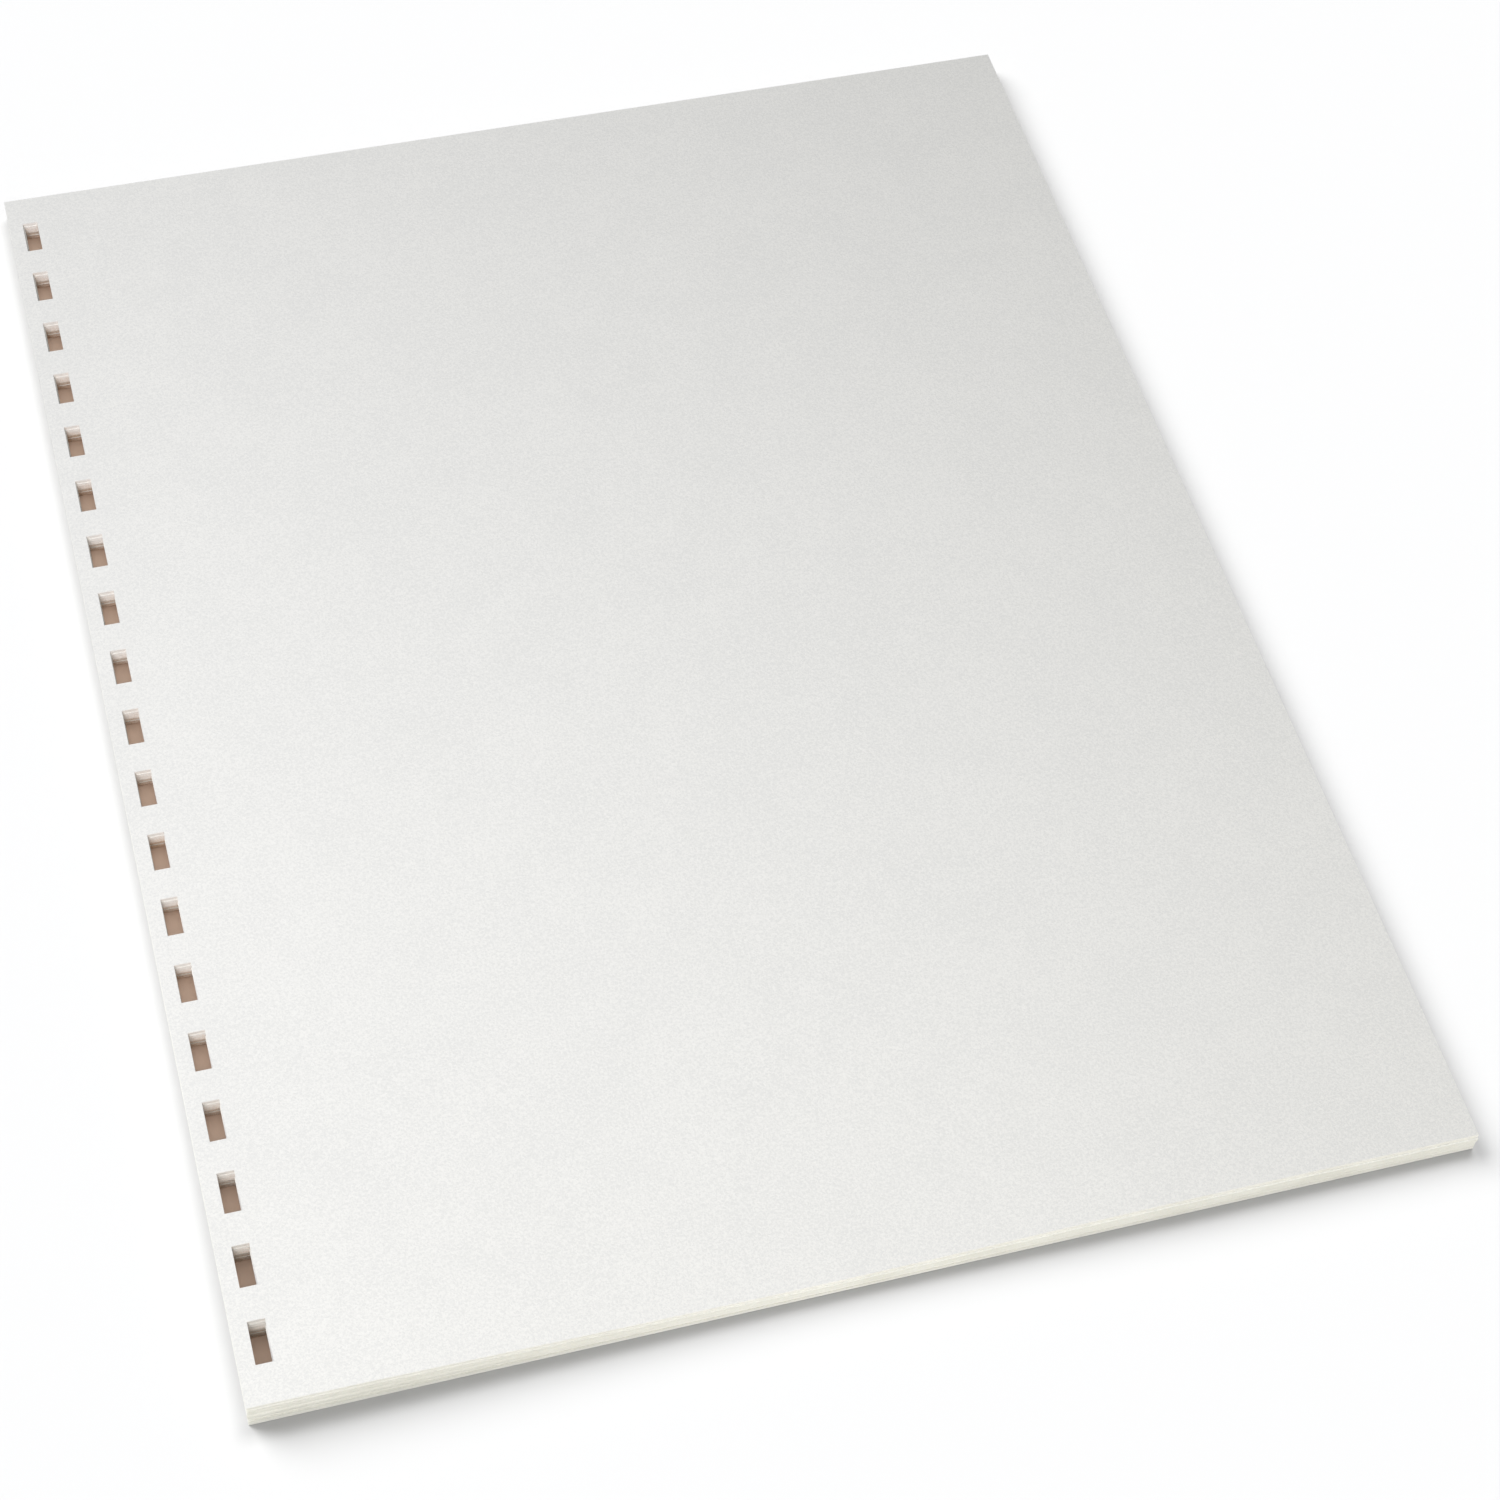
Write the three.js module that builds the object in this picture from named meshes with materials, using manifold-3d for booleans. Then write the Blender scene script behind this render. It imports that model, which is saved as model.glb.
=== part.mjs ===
// A pile of letter paper punched along its left edge for comb binding, lying flat.
// Millimetres, +Z up. X runs across the sheets, Y runs along the punched edge, away from the reader.
// The origin is the middle of the underside, so the pile stands on Z = 0.
import * as THREE from 'three';
import { mergeVertices } from 'three/addons/utils/BufferGeometryUtils.js';
import Module from 'manifold-3d';

const wasm = await Module();
wasm.setup();

// One sheet
const sheetWidth = 215.9;
const sheetLength = 279.4;
const sheetThickness = 0.1;

// The punched row: rectangular holes every nine sixteenths of an inch, centred on the long edge
const holePitch = 14.2875;
const holeLength = 7.94;
const holeWidth = 3;
const holeSetback = 2.8; // paper left between the punched edge and the holes
const leastEndMargin = 5; // paper left beyond the row's two ends, at the least

// The sheets lie in lifts, as they came off the punch. Each has slid and turned a little from square.
const sheetsPerLift = 8;
const lifts = [
  { right: 0, away: 0, turn: 0 },
  { right: 0.12, away: 0.1, turn: -0.03 },
  { right: -0.1, away: -0.08, turn: 0.02 },
  { right: 0.08, away: -0.12, turn: 0 },
  { right: -0.05, away: 0.1, turn: 0.08 },
];

// Air between the sheets. It stands deeper at the near left corner and on the near edge, right of
// its middle, and the near edge sinks between the two.
const airDepth = 0.5;
const cornerSwell = 1.9;
const cornerSwellReach = 50;
const edgeSwell = 0.4;
const edgeSwellReach = 35;
const edgeSwellFromRight = 56;
const middleDip = 0.5;
const middleDipReach = 35;

// Widest cell of the curved top between the punched strip and the right edge
const cellWidth = 14;

const paper = new THREE.MeshStandardMaterial({ color: 0xf1f0ec, roughness: 0.9, metalness: 0 });

const pressedDepth = sheetThickness * sheetsPerLift * lifts.length;
const rowRoom = sheetLength - 2 * leastEndMargin - holeLength;
const holeCount = 1 + Math.floor(rowRoom / holePitch);
const firstHoleY = -holePitch * (holeCount - 1) / 2;
const stripWidth = 2 * holeSetback + holeWidth;
const columns = 1 + Math.ceil((sheetWidth - stripWidth) / cellWidth);

// A smooth hump: 1 at its centre, and a third of that at its reach
function hump(distance, reach) {
  return Math.exp(-((distance / reach) ** 2));
}

// How high the pile stands at a place on the sheets
function pileDepth(x, y) {
  const fromLeft = sheetWidth / 2 + x;
  const fromRight = sheetWidth / 2 - x;
  const fromNear = sheetLength / 2 + y;
  return pressedDepth + airDepth
    + cornerSwell * hump(Math.hypot(fromLeft, fromNear), cornerSwellReach)
    + edgeSwell * hump(Math.hypot(fromRight - edgeSwellFromRight, fromNear), edgeSwellReach)
    - middleDip * hump(Math.hypot(x, fromNear), middleDipReach);
}

// Grid lines across the sheet: the first cell is the punched strip, and the rest share the width
function columnX(column) {
  const rest = (sheetWidth - stripWidth) / (columns - 1);
  return -sheetWidth / 2 + (column === 0 ? 0 : stripWidth + (column - 1) * rest);
}

// Grid lines along the sheet: each runs between two holes, so that every hole has a row to itself
function rowY(row) {
  if (row === 0) {
    return -sheetLength / 2;
  }
  if (row === holeCount) {
    return sheetLength / 2;
  }
  return firstHoleY + (row - 0.5) * holePitch;
}

// A place on the sheets after its lift has turned about the pile's middle and slid
function placeInLift(x, y, lift) {
  const turned = new THREE.Vector2(x, y).rotateAround(new THREE.Vector2(), THREE.MathUtils.degToRad(lift.turn));
  return turned.add(new THREE.Vector2(lift.right, lift.away));
}

// The pile before it is punched. A gridded box has two rings of points where one lift lies on the
// next, one on the outline of each, so that its walls step in and out as the lifts do.
function unpunchedPile() {
  const levels = 2 * lifts.length - 1;
  const box = new THREE.BoxGeometry(1, 1, 1, columns, holeCount, levels);
  const points = box.attributes.position;
  for (let i = 0; i < points.count; i += 1) {
    const x = columnX(Math.round((points.getX(i) + 0.5) * columns));
    const y = rowY(Math.round((points.getY(i) + 0.5) * holeCount));
    const level = Math.round((points.getZ(i) + 0.5) * levels);
    const liftIndex = Math.floor(level / 2);
    const liftsBelow = Math.ceil(level / 2);
    const place = placeInLift(x, y, lifts[liftIndex]);
    points.setXYZ(i, place.x, place.y, pileDepth(x, y) * liftsBelow / lifts.length);
  }
  return box;
}

// The punch that makes one hole, longer than the pile is deep
function punch(n) {
  const overrun = 1;
  const travel = pressedDepth + airDepth + cornerSwell + edgeSwell + 2 * overrun;
  const die = new THREE.BoxGeometry(holeWidth, holeLength, travel);
  const x = -sheetWidth / 2 + holeSetback + holeWidth / 2;
  return die.translate(x, firstHoleY + n * holePitch, travel / 2 - overrun);
}

// The closed solid of a three.js geometry
function solidOf(geometry) {
  geometry.deleteAttribute('normal');
  geometry.deleteAttribute('uv');
  const merged = mergeVertices(geometry, 1e-5);
  return new wasm.Manifold(new wasm.Mesh({
    numProp: 3,
    vertProperties: new Float32Array(merged.attributes.position.array),
    triVerts: new Uint32Array(merged.index.array),
  }));
}

// The geometry of a closed solid
function geometryOf(solid) {
  const mesh = solid.getMesh();
  const geometry = new THREE.BufferGeometry();
  geometry.setAttribute('position', new THREE.BufferAttribute(new Float32Array(mesh.vertProperties), 3));
  geometry.setIndex(new THREE.BufferAttribute(new Uint32Array(mesh.triVerts), 1));
  geometry.computeVertexNormals();
  return geometry;
}

// The punched pile, with the middle of its outline over the origin
function punchedPile() {
  let pile = solidOf(unpunchedPile());
  for (let n = 0; n < holeCount; n += 1) {
    pile = pile.subtract(solidOf(punch(n)));
  }
  const geometry = geometryOf(pile);
  geometry.computeBoundingBox();
  const middle = geometry.boundingBox.getCenter(new THREE.Vector3());
  return geometry.translate(-middle.x, -middle.y, 0);
}

const object = new THREE.Group();
const pile = new THREE.Mesh(punchedPile(), paper);
pile.name = 'punched_paper_stack';
object.add(pile);

export default object;
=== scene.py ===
import math

import bmesh
import bpy
from mathutils import Matrix, Quaternion, Vector


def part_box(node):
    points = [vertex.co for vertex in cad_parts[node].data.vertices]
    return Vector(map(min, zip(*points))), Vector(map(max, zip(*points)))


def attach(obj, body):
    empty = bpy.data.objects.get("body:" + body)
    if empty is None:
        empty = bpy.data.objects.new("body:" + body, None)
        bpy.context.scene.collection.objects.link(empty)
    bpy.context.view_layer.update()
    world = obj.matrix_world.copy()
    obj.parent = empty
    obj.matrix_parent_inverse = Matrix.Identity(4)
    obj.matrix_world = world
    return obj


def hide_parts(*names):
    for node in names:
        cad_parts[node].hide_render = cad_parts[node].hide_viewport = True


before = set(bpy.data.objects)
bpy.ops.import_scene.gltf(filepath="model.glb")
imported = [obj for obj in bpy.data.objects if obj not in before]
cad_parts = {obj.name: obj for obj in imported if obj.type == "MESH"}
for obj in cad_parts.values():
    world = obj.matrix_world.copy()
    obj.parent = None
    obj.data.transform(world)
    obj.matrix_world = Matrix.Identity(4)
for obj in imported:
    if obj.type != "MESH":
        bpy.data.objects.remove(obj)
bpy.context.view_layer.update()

# a loose pile of white letter paper, punched along its left edge
mm = 0.001


# camera, where the photograph was taken from
view = {
    "eye": (-0.1149, -0.3681, 0.4984),
    "aim": (0.0061, -0.0311, 0.0045),  # the middle of the picture, on the top sheet
    "roll": 5.4,
    "lens": 78.64,
    "sensor": 36,
    "clipEnd": 20,
}


def makeCamera():
    data = bpy.data.cameras.new("camera")
    data.lens = view["lens"]
    data.sensor_width = view["sensor"]
    data.clip_end = view["clipEnd"]
    camera = bpy.data.objects.new("camera", data)
    bpy.context.scene.collection.objects.link(camera)
    eye = Vector(view["eye"])
    turn = (Vector(view["aim"]) - eye).to_track_quat("-Z", "Y")
    camera.rotation_mode = "QUATERNION"
    camera.rotation_quaternion = turn @ Quaternion((0, 0, 1), math.radians(view["roll"]))
    camera.location = eye
    bpy.context.scene.camera = camera


makeCamera()
print("camera set")


# node helpers, used by the shaders and by the geometry trees
def addNode(tree, kind, settings=None, **inputs):
    node = tree.nodes.new(kind)
    for name, value in (settings or {}).items():
        setattr(node, name, value)
    for name, value in inputs.items():
        feed(tree, node.inputs[name.replace("_", " ")], value)
    return node


def feed(tree, socket, value):
    if isinstance(value, bpy.types.NodeSocket):
        tree.links.new(value, socket)
    else:
        socket.default_value = value


def calc(tree, operation, *values):
    node = addNode(tree, "ShaderNodeMath", {"operation": operation})
    for socket, value in zip(node.inputs, values):
        feed(tree, socket, value)
    return node.outputs[0]


def addSocket(tree, name, kind, isInput=True):
    side = "INPUT" if isInput else "OUTPUT"
    tree.interface.new_socket(name=name, in_out=side, socket_type=kind)


# the grain that the face of the paper and its cut edges share: clouds, and fibres over them
paperGrain = {
    "cloudDetail": 3.0,
    "fibreDetail": 2.0,
    "fibreBend": 0.8,
    "noiseRoughness": 0.6,
    "noiseLow": 0.35,  # nearly all of a noise's values lie between these two
    "noiseHigh": 0.65,
}


def makeGrainGroup():
    tree = bpy.data.node_groups.new("paperGrain", "ShaderNodeTree")
    addSocket(tree, "Vector", "NodeSocketVector")
    addSocket(tree, "Cloud Size", "NodeSocketFloat")
    addSocket(tree, "Fibre Size", "NodeSocketFloat")
    addSocket(tree, "Cloud", "NodeSocketFloat", False)
    addSocket(tree, "Fibre", "NodeSocketFloat", False)
    given = addNode(tree, "NodeGroupInput")
    made = addNode(tree, "NodeGroupOutput")
    cloudScale = calc(tree, "DIVIDE", 1.0, given.outputs["Cloud Size"])
    fibreScale = calc(tree, "DIVIDE", 1.0, given.outputs["Fibre Size"])
    cloud = addNode(tree, "ShaderNodeTexNoise", Vector=given.outputs["Vector"], Scale=cloudScale,
                    Detail=paperGrain["cloudDetail"], Roughness=paperGrain["noiseRoughness"])
    fibre = addNode(tree, "ShaderNodeTexNoise", Vector=given.outputs["Vector"], Scale=fibreScale,
                    Detail=paperGrain["fibreDetail"], Roughness=paperGrain["noiseRoughness"],
                    Distortion=paperGrain["fibreBend"])
    tree.links.new(cloud.outputs[0], made.inputs["Cloud"])
    tree.links.new(fibre.outputs[0], made.inputs["Fibre"])
    return tree


grainGroup = makeGrainGroup()


def newMaterial(name):
    material = bpy.data.materials.new(name)
    material.use_nodes = True
    tree = material.node_tree
    shader = next(node for node in tree.nodes if node.type == "BSDF_PRINCIPLED")
    return material, tree, shader


def addGrain(tree, cloudSize, fibreSize):
    place = addNode(tree, "ShaderNodeTexCoord")
    grain = addNode(tree, "ShaderNodeGroup", {"node_tree": grainGroup}, Vector=place.outputs["Object"])
    grain.inputs["Cloud Size"].default_value = cloudSize
    grain.inputs["Fibre Size"].default_value = fibreSize
    return grain


def mixColour(tree, factor, first, second):
    # the colour sockets go by number, because the node's other kinds have the same names
    node = addNode(tree, "ShaderNodeMix", {"data_type": "RGBA"})
    feed(tree, node.inputs["Factor"], factor)
    feed(tree, node.inputs[6], first)
    feed(tree, node.inputs[7], second)
    return node.outputs[2]


def spread(tree, value, low, high):
    # a noise's usual values stretched to a range of their own
    node = addNode(tree, "ShaderNodeMapRange", Value=value, From_Min=paperGrain["noiseLow"],
                   From_Max=paperGrain["noiseHigh"], To_Min=low, To_Max=high)
    return node.outputs[0]


def addTooth(tree, shader, grain, height):
    bump = addNode(tree, "ShaderNodeBump", Height=grain.outputs["Fibre"], Distance=height)
    tree.links.new(bump.outputs[0], shader.inputs["Normal"])


# white uncoated paper, seen flat on
whiteSheet = {
    "light": (0.85, 0.84, 0.77, 1),
    "shade": (0.765, 0.76, 0.702, 1),
    "cloudSize": 12 * mm,
    "cloudShare": 0.12,
    "fibreSize": 0.42 * mm,
    "fibreShare": 0.65,
    "roughness": (0.84, 0.95),
    "specular": 0.3,
    "tooth": 0.05 * mm,
}


def makeWhiteSheet():
    material, tree, shader = newMaterial("whiteSheet")
    grain = addGrain(tree, whiteSheet["cloudSize"], whiteSheet["fibreSize"])
    middle = 0.5  # halfway between light and shade
    cloud = spread(tree, grain.outputs["Cloud"], middle - whiteSheet["cloudShare"],
                   middle + whiteSheet["cloudShare"])
    fibre = spread(tree, grain.outputs["Fibre"], -whiteSheet["fibreShare"], whiteSheet["fibreShare"])
    tone = calc(tree, "ADD", cloud, fibre)
    colour = mixColour(tree, tone, whiteSheet["light"], whiteSheet["shade"])
    feed(tree, shader.inputs["Base Color"], colour)
    feed(tree, shader.inputs["Roughness"], spread(tree, grain.outputs["Fibre"], *whiteSheet["roughness"]))
    shader.inputs["Specular IOR Level"].default_value = whiteSheet["specular"]
    addTooth(tree, shader, grain, whiteSheet["tooth"])
    return material


# the edges cut by the guillotine, creamier than the faces, each sheet with its own tone
cutEdge = {
    "light": (0.90, 0.89, 0.83, 1),
    "shade": (0.745, 0.73, 0.65, 1),
    "toneName": "edgeTone",
    "roughness": (0.88, 1.0),
}

# the edges inside the holes, cream at the top and browner and darker further down, a painted shade deep
# in the holes
punchedEdge = {
    "light": (0.88, 0.84, 0.80, 1),
    "shade": (0.62, 0.43, 0.29, 1),
    "toneName": "holeTone",
    "roughness": (0.8, 0.95),
}

# what both kinds of edge share
edgeGrain = {
    "cloudSize": 9 * mm,
    "cloudShare": 0.2,
    "fibreSize": 0.25 * mm,
    "fibreShare": 0.2,
    "specular": 0.2,
    "tooth": 0.05 * mm,
}


def makeEdgeFinish(name, finish):
    material, tree, shader = newMaterial(name)
    grain = addGrain(tree, edgeGrain["cloudSize"], edgeGrain["fibreSize"])
    own = addNode(tree, "ShaderNodeAttribute", {"attribute_name": finish["toneName"]}).outputs["Fac"]
    fibre = spread(tree, grain.outputs["Fibre"], -edgeGrain["fibreShare"], edgeGrain["fibreShare"])
    cloud = spread(tree, grain.outputs["Cloud"], -edgeGrain["cloudShare"], edgeGrain["cloudShare"])
    tone = calc(tree, "ADD", calc(tree, "ADD", own, fibre), cloud)
    feed(tree, shader.inputs["Base Color"], mixColour(tree, tone, finish["light"], finish["shade"]))
    feed(tree, shader.inputs["Roughness"], spread(tree, grain.outputs["Fibre"], *finish["roughness"]))
    shader.inputs["Specular IOR Level"].default_value = edgeGrain["specular"]
    addTooth(tree, shader, grain, edgeGrain["tooth"])
    return material


whiteSheetMaterial = makeWhiteSheet()
cutEdgeMaterial = makeEdgeFinish("cutEdge", cutEdge)
punchedEdgeMaterial = makeEdgeFinish("punchedEdge", punchedEdge)
print("paper finishes made")


# one flat punched sheet, which the pile repeats
sheet = {
    "width": 215.9 * mm,
    "length": 279.4 * mm,
    "thickness": 0.1 * mm,
    "holePitch": 14.2875 * mm,
    "holeLength": 7.94 * mm,
    "holeWidth": 3 * mm,
    "holeSetback": 2.8 * mm,
    "holeCount": 19,
    "columns": 15,  # grid columns right of the holes
}
cutFace = 1
punchedFace = 2


def sheetGridLines():
    left = -sheet["width"] / 2
    across = [left, left + sheet["holeSetback"], left + sheet["holeSetback"] + sheet["holeWidth"]]
    rest = sheet["width"] / 2 - across[-1]
    across += [across[2] + rest * n / sheet["columns"] for n in range(1, sheet["columns"] + 1)]
    along = [-sheet["length"] / 2]
    for n in range(sheet["holeCount"]):
        middle = (n - (sheet["holeCount"] - 1) / 2) * sheet["holePitch"]
        along += [middle - sheet["holeLength"] / 2, middle + sheet["holeLength"] / 2]
    along.append(sheet["length"] / 2)
    return across, along


def makeSheet():
    across, along = sheetGridLines()
    mesh = bpy.data.meshes.new("sheet")
    build = bmesh.new()
    lower = [[build.verts.new((x, y, 0)) for y in along] for x in across]
    upper = [[build.verts.new((x, y, sheet["thickness"])) for y in along] for x in across]

    def isHole(i, j):
        # every second cell of the second column
        return i == 1 and j % 2 == 1 and 0 < j < len(along) - 1

    def isPaper(i, j):
        inside = 0 <= i < len(across) - 1 and 0 <= j < len(along) - 1
        return inside and not isHole(i, j)

    def wall(a, b, inHole):
        (i, j), (k, l) = a, b
        face = build.faces.new((lower[i][j], lower[k][l], upper[k][l], upper[i][j]))
        face.material_index = punchedFace if inHole else cutFace

    for i in range(len(across) - 1):
        for j in range(len(along) - 1):
            if not isPaper(i, j):
                continue
            build.faces.new((upper[i][j], upper[i + 1][j], upper[i + 1][j + 1], upper[i][j + 1]))
            build.faces.new((lower[i][j + 1], lower[i + 1][j + 1], lower[i + 1][j], lower[i][j]))
            if not isPaper(i, j - 1):
                wall((i, j), (i + 1, j), isHole(i, j - 1))
            if not isPaper(i + 1, j):
                wall((i + 1, j), (i + 1, j + 1), isHole(i + 1, j))
            if not isPaper(i, j + 1):
                wall((i + 1, j + 1), (i, j + 1), isHole(i, j + 1))
            if not isPaper(i - 1, j):
                wall((i, j + 1), (i, j), isHole(i - 1, j))
    for edge in build.edges:
        edge.smooth = not any(face.material_index >= cutFace for face in edge.link_faces)
    build.to_mesh(mesh)
    build.free()
    cut = mesh.attributes.new("isCut", "BOOLEAN", "FACE")
    cut.data.foreach_set("value", [face.material_index >= cutFace for face in mesh.polygons])
    punched = mesh.attributes.new("isPunched", "BOOLEAN", "FACE")
    punched.data.foreach_set("value", [face.material_index == punchedFace for face in mesh.polygons])
    return bpy.data.objects.new("sheet", mesh)


# the pile: lifts of sheets slid and turned a little, with air between them that swells at two places
pile = {
    "lifts": [  # right, away, turn in degrees, from the bottom up
        (0, 0, 0),
        (0.12, 0.1, -0.03),
        (-0.1, -0.08, 0.02),
        (0.08, -0.12, 0),
        (-0.05, 0.1, 0.06),
    ],
    "sizes": {
        "Sheets Per Lift": 8,
        "Sheet Thickness": sheet["thickness"],
        "Air Depth": 0.5 * mm,
        "Corner Swell": 1.9 * mm,
        "Corner Swell Reach": 50 * mm,
        "Edge Swell": 0.4 * mm,
        "Edge Swell Reach": 35 * mm,
        "Middle Dip": 0.5 * mm,
        "Middle Dip Reach": 35 * mm,
        "Slip": 0.02 * mm,
        "Skew": 0.004,
        # the bottom sheets whose cut edges carry a painted highlight
        "Painted Highlight Sheets": 3.5,
        "Seed": 7,
    },
    "edgeSwellFromRight": 56 * mm,
    "gapPower": 2.0,  # above 1, a few gaps take most of the air
    "sheetTone": (0.25, 0.6),
    "liftTone": (0.0, 0.35),
}


def makeHumpGroup():
    # a smooth hump of one height about one place, a third as high at its reach
    tree = bpy.data.node_groups.new("hump", "GeometryNodeTree")
    addSocket(tree, "Place", "NodeSocketVector")
    addSocket(tree, "Centre", "NodeSocketVector")
    addSocket(tree, "Height", "NodeSocketFloat")
    addSocket(tree, "Reach", "NodeSocketFloat")
    addSocket(tree, "Depth", "NodeSocketFloat", False)
    given = addNode(tree, "NodeGroupInput").outputs
    made = addNode(tree, "NodeGroupOutput")
    offset = addNode(tree, "ShaderNodeVectorMath", {"operation": "SUBTRACT"})
    tree.links.new(given["Place"], offset.inputs[0])
    tree.links.new(given["Centre"], offset.inputs[1])
    flat = addNode(tree, "ShaderNodeVectorMath", {"operation": "MULTIPLY"})
    tree.links.new(offset.outputs[0], flat.inputs[0])
    flat.inputs[1].default_value = (1, 1, 0)
    far = addNode(tree, "ShaderNodeVectorMath", {"operation": "LENGTH"})
    tree.links.new(flat.outputs[0], far.inputs[0])
    share = calc(tree, "DIVIDE", far.outputs["Value"], given["Reach"])
    fall = calc(tree, "EXPONENT", calc(tree, "MULTIPLY", calc(tree, "MULTIPLY", share, share), -1.0))
    tree.links.new(calc(tree, "MULTIPLY", fall, given["Height"]), made.inputs[0])
    return tree


def makePileTree():
    tree = bpy.data.node_groups.new("paperPile", "GeometryNodeTree")
    addSocket(tree, "Lifts", "NodeSocketGeometry")
    addSocket(tree, "Sheet", "NodeSocketObject")
    for name, value in pile["sizes"].items():
        addSocket(tree, name, "NodeSocketInt" if isinstance(value, int) else "NodeSocketFloat")
    addSocket(tree, "Face Finish", "NodeSocketMaterial")
    addSocket(tree, "Edge Finish", "NodeSocketMaterial")
    addSocket(tree, "Hole Finish", "NodeSocketMaterial")
    addSocket(tree, "Pile", "NodeSocketGeometry", False)
    given = addNode(tree, "NodeGroupInput").outputs
    made = addNode(tree, "NodeGroupOutput")
    hump = makeHumpGroup()

    # one point for each sheet, which keeps its lift's slide and turn
    copies = addNode(tree, "GeometryNodeDuplicateElements", {"domain": "POINT"}, Geometry=given["Lifts"],
                     Amount=given["Sheets Per Lift"])
    index = addNode(tree, "GeometryNodeInputIndex").outputs[0]

    def random(low, high, extra, key=index):
        # extra keeps one use's draws apart from another's
        node = addNode(tree, "FunctionNodeRandomValue", {"data_type": "FLOAT"})
        feed(tree, node.inputs[2], low)
        feed(tree, node.inputs[3], high)
        feed(tree, node.inputs["ID"], key)
        feed(tree, node.inputs["Seed"], calc(tree, "ADD", given["Seed"], float(extra)))
        return node.outputs[1]

    def store(geometry, name, value, kind="FLOAT"):
        node = addNode(tree, "GeometryNodeStoreNamedAttribute", {"data_type": kind, "domain": "POINT"},
                       Geometry=geometry, Name=name, Value=value)
        return node.outputs[0]

    def recall(name, kind="FLOAT"):
        node = addNode(tree, "GeometryNodeInputNamedAttribute", {"data_type": kind}, Name=name)
        return node.outputs[0]

    count = calc(tree, "MULTIPLY", given["Sheets Per Lift"], float(len(pile["lifts"])))

    # the air under each sheet is a random share of the whole, most of it in a few gaps
    gap = calc(tree, "POWER", random(0.0, 1.0, 1), pile["gapPower"])
    running = addNode(tree, "GeometryNodeAccumulateField", {"data_type": "FLOAT", "domain": "POINT"})
    feed(tree, running.inputs[0], gap)
    airShare = calc(tree, "DIVIDE", running.outputs["Leading"], running.outputs["Total"])
    points = store(copies.outputs["Geometry"], "airShare", airShare)
    points = store(points, "sheetIndex", index)

    # cut edges: each has its own tone over its lift's; the lowest few get the lightest tone, a painted
    # highlight along the foot of the pile
    liftIndex = calc(tree, "FLOOR", calc(tree, "DIVIDE", index, given["Sheets Per Lift"]))
    ownTone = calc(tree, "ADD", random(*pile["sheetTone"], 2), random(*pile["liftTone"], 6, liftIndex))
    isAbove = calc(tree, "GREATER_THAN", index, given["Painted Highlight Sheets"])
    points = store(points, "edgeTone", calc(tree, "MULTIPLY", ownTone, isAbove))

    # in the holes they darken towards the bottom, a painted shade that deepens down the holes
    fromTop = calc(tree, "SUBTRACT", 1.0, calc(tree, "DIVIDE", index, count))
    points = store(points, "holeTone", calc(tree, "MULTIPLY", fromTop, fromTop))

    slip = addNode(tree, "ShaderNodeCombineXYZ")
    back = calc(tree, "MULTIPLY", given["Slip"], -1.0)
    feed(tree, slip.inputs[0], random(back, given["Slip"], 3))
    feed(tree, slip.inputs[1], random(back, given["Slip"], 4))
    slipped = addNode(tree, "GeometryNodeSetPosition", Geometry=points, Offset=slip.outputs[0])
    unskew = calc(tree, "MULTIPLY", given["Skew"], -1.0)
    skew = calc(tree, "ADD", recall("liftTurn"), random(unskew, given["Skew"], 5))
    turn = addNode(tree, "ShaderNodeCombineXYZ")
    feed(tree, turn.inputs[2], calc(tree, "RADIANS", skew))
    flatSheet = addNode(tree, "GeometryNodeObjectInfo", Object=given["Sheet"])
    sheets = addNode(tree, "GeometryNodeInstanceOnPoints", Points=slipped.outputs[0],
                     Instance=flatSheet.outputs["Geometry"], Rotation=turn.outputs[0])
    loose = addNode(tree, "GeometryNodeRealizeInstances", Geometry=sheets.outputs[0])

    # how deep the pile is over each place of the table
    place = addNode(tree, "GeometryNodeInputPosition").outputs[0]
    near = -sheet["length"] / 2
    air = given["Air Depth"]
    humps = [
        ("Corner Swell", -sheet["width"] / 2, 1.0),
        ("Edge Swell", sheet["width"] / 2 - pile["edgeSwellFromRight"], 1.0),
        ("Middle Dip", 0, -1.0),
    ]
    for name, centreX, sign in humps:
        node = addNode(tree, "GeometryNodeGroup", {"node_tree": hump}, Place=place,
                       Centre=(centreX, near, 0), Height=given[name], Reach=given[name + " Reach"])
        air = calc(tree, "ADD", air, calc(tree, "MULTIPLY", node.outputs[0], sign))
    under = calc(tree, "MULTIPLY", recall("sheetIndex"), given["Sheet Thickness"])
    lift = calc(tree, "ADD", under, calc(tree, "MULTIPLY", recall("airShare"), air))
    rise = addNode(tree, "ShaderNodeCombineXYZ", Z=lift)
    piled = addNode(tree, "GeometryNodeSetPosition", Geometry=loose.outputs[0], Offset=rise.outputs[0])

    isCut = recall("isCut", "BOOLEAN")
    isFace = addNode(tree, "FunctionNodeBooleanMath", {"operation": "NOT"})
    feed(tree, isFace.inputs[0], isCut)
    smooth = addNode(tree, "GeometryNodeSetShadeSmooth", Selection=isFace.outputs[0])
    tree.links.new(piled.outputs[0], smooth.inputs[0])
    faces = addNode(tree, "GeometryNodeSetMaterial", Geometry=smooth.outputs[0],
                    Material=given["Face Finish"])
    edges = addNode(tree, "GeometryNodeSetMaterial", Geometry=faces.outputs[0],
                    Material=given["Edge Finish"], Selection=isCut)
    holes = addNode(tree, "GeometryNodeSetMaterial", Geometry=edges.outputs[0],
                    Material=given["Hole Finish"], Selection=recall("isPunched", "BOOLEAN"))
    tree.links.new(holes.outputs[0], made.inputs[0])
    return tree


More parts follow.
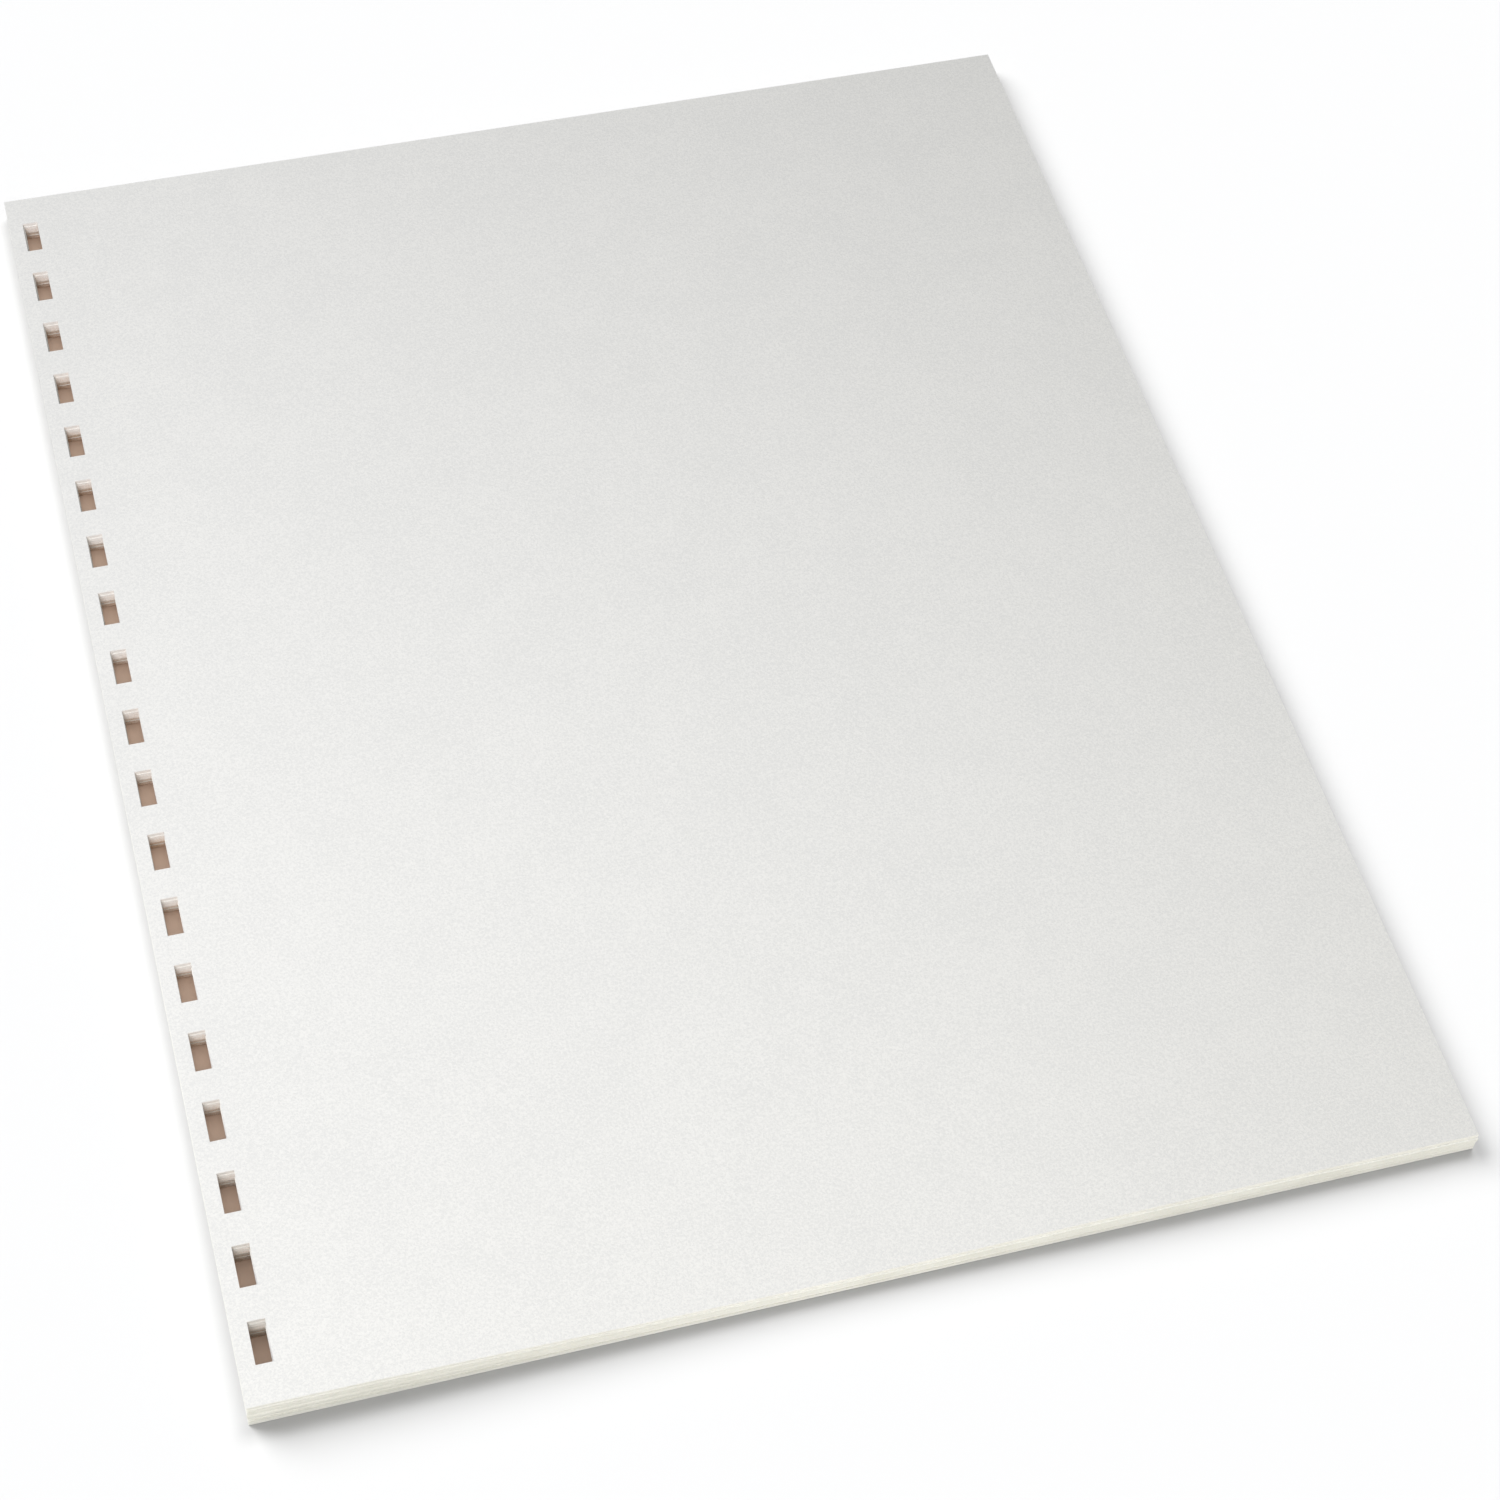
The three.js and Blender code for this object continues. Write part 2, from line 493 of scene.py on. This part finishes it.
def makeLiftPoints():
    # one point for each lift, carrying how the lift lies
    mesh = bpy.data.meshes.new("liftPoints")
    mesh.from_pydata([(right * mm, away * mm, 0) for right, away, turn in pile["lifts"]], [], [])
    turns = mesh.attributes.new("liftTurn", "FLOAT", "POINT")
    turns.data.foreach_set("value", [turn for right, away, turn in pile["lifts"]])
    points = bpy.data.objects.new("liftPoints", mesh)
    bpy.context.scene.collection.objects.link(points)
    return points


def setInput(modifier, name, value):
    items = modifier.node_group.interface.items_tree
    socket = next(item for item in items if item.name == name and item.in_out == "INPUT")
    modifier[socket.identifier] = value


def makePile():
    flatSheet = makeSheet()
    points = makeLiftPoints()
    modifier = points.modifiers.new("paperPile", "NODES")
    modifier.node_group = makePileTree()
    setInput(modifier, "Sheet", flatSheet)
    setInput(modifier, "Face Finish", whiteSheetMaterial)
    setInput(modifier, "Edge Finish", cutEdgeMaterial)
    setInput(modifier, "Hole Finish", punchedEdgeMaterial)
    for name, value in pile["sizes"].items():
        setInput(modifier, name, value)
    evaluated = points.evaluated_get(bpy.context.evaluated_depsgraph_get())
    mesh = bpy.data.meshes.new_from_object(evaluated)
    points.modifiers.clear()
    bpy.data.objects.remove(points)
    bpy.data.objects.remove(flatSheet)
    mesh.name = "punchedPaper"
    piece = bpy.data.objects.new("punchedPaper", mesh)
    bpy.context.scene.collection.objects.link(piece)
    return piece


def centreOnNode(piece, node):
    # the middle of the pile's outline goes over the middle of its solid's
    low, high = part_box(node)
    corners = [Vector(corner) for corner in piece.bound_box]
    middle = (corners[0] + corners[6]) / 2
    shift = (low + high) / 2 - middle
    piece.data.transform(Matrix.Translation((shift.x, shift.y, 0)))


punchedPaper = makePile()
centreOnNode(punchedPaper, "punched_paper_stack")
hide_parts("punched_paper_stack")
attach(punchedPaper, "root")
print("pile of", len(punchedPaper.data.polygons), "faces made")


# plain pale floor, and the brown table top that the holes show under the pile
floor = {
    "half": 3,
    "below": 0.1 * mm,
    "colour": (0.6, 0.6, 0.6, 1),
}
tableTop = {
    "inset": 1 * mm,
    "below": 0.05 * mm,
    "colour": (0.615, 0.465, 0.365, 1),
}
stageFinish = {
    "roughness": 0.9,
    "specular": 0.1,
}


def makeStage(name, halfX, halfY, below, colour):
    corners = [(-halfX, -halfY), (halfX, -halfY), (halfX, halfY), (-halfX, halfY)]
    mesh = bpy.data.meshes.new(name)
    mesh.from_pydata([(x, y, -below) for x, y in corners], [], [(0, 1, 2, 3)])
    material, tree, shader = newMaterial(name)
    shader.inputs["Base Color"].default_value = colour
    shader.inputs["Roughness"].default_value = stageFinish["roughness"]
    shader.inputs["Specular IOR Level"].default_value = stageFinish["specular"]
    mesh.materials.append(material)
    plane = bpy.data.objects.new(name, mesh)
    bpy.context.scene.collection.objects.link(plane)
    return plane


floorPlane = makeStage("floor", floor["half"], floor["half"], floor["below"], floor["colour"])
tableHalfX = sheet["width"] / 2 - tableTop["inset"]
tableHalfY = sheet["length"] / 2 - tableTop["inset"]
tablePlane = makeStage("tableTop", tableHalfX, tableHalfY, tableTop["below"], tableTop["colour"])


# soft studio light: two lamps for the paper, and broad ones for what it lies on
studio = {
    "backdrop": 0.99,  # what the camera sees past the floor
    "sky": 0.3,  # what lights the scene from all round
    "skyColour": (0.97, 0.98, 1, 1),
    "paperLamp": {"place": (-0.32, -0.07, 0.6), "size": 0.35, "power": 3.06, "colour": (0.88, 0.89, 1)},
    "frontLamp": {"place": (-0.22, -1.1, 0.52), "size": 0.5, "power": 7.7, "colour": (1, 0.99, 0.97)},
    "floorLamp": {"place": (-0.75, 0.88, 1), "spread": 42, "strength": 3.66, "target": floorPlane},
    "sideLamp": {"place": (0.26, 0.4, 1), "spread": 26, "strength": 1.43, "target": floorPlane},
    "nearLamp": {"place": (-0.1, -0.7, 1), "spread": 40, "strength": 0.7, "target": floorPlane},
    "tableLamp": {"place": (0, 0, 1), "spread": 70, "strength": 2.1, "target": tablePlane},
}


def addLamp(name, data, place, target):
    lamp = bpy.data.objects.new(name, data)
    lamp.location = place
    lamp.rotation_mode = "QUATERNION"
    lamp.rotation_quaternion = (-Vector(place)).to_track_quat("-Z", "Y")
    bpy.context.scene.collection.objects.link(lamp)
    lit = bpy.data.collections.new(name + "Lights")
    lit.objects.link(target)
    lamp.light_linking.receiver_collection = lit


def makePaperLamp(name, place, size, power, colour):
    data = bpy.data.lights.new(name, "AREA")
    data.shape = "DISK"
    data.size = size
    data.energy = power
    data.color = colour
    addLamp(name, data, place, punchedPaper)


def makeBroadLamp(name, place, spread, strength, target):
    data = bpy.data.lights.new(name, "SUN")
    data.angle = math.radians(spread)
    data.energy = strength
    addLamp(name, data, place, target)


def makeSky():
    world = bpy.data.worlds.new("studio")
    world.use_nodes = True
    tree = world.node_tree
    tree.nodes.clear()
    seen = addNode(tree, "ShaderNodeBackground", Color=(1, 1, 1, 1), Strength=studio["backdrop"])
    lit = addNode(tree, "ShaderNodeBackground", Color=studio["skyColour"], Strength=studio["sky"])
    path = addNode(tree, "ShaderNodeLightPath")
    mix = addNode(tree, "ShaderNodeMixShader")
    tree.links.new(path.outputs["Is Camera Ray"], mix.inputs[0])
    tree.links.new(lit.outputs[0], mix.inputs[1])
    tree.links.new(seen.outputs[0], mix.inputs[2])
    output = addNode(tree, "ShaderNodeOutputWorld")
    tree.links.new(mix.outputs[0], output.inputs["Surface"])
    bpy.context.scene.world = world


makeSky()
for lampName in ("paperLamp", "frontLamp"):
    makePaperLamp(lampName, **studio[lampName])
for lampName in ("floorLamp", "sideLamp", "nearLamp", "tableLamp"):
    makeBroadLamp(lampName, **studio[lampName])
bpy.context.scene.view_settings.view_transform = "Standard"
print("floor and lights set")
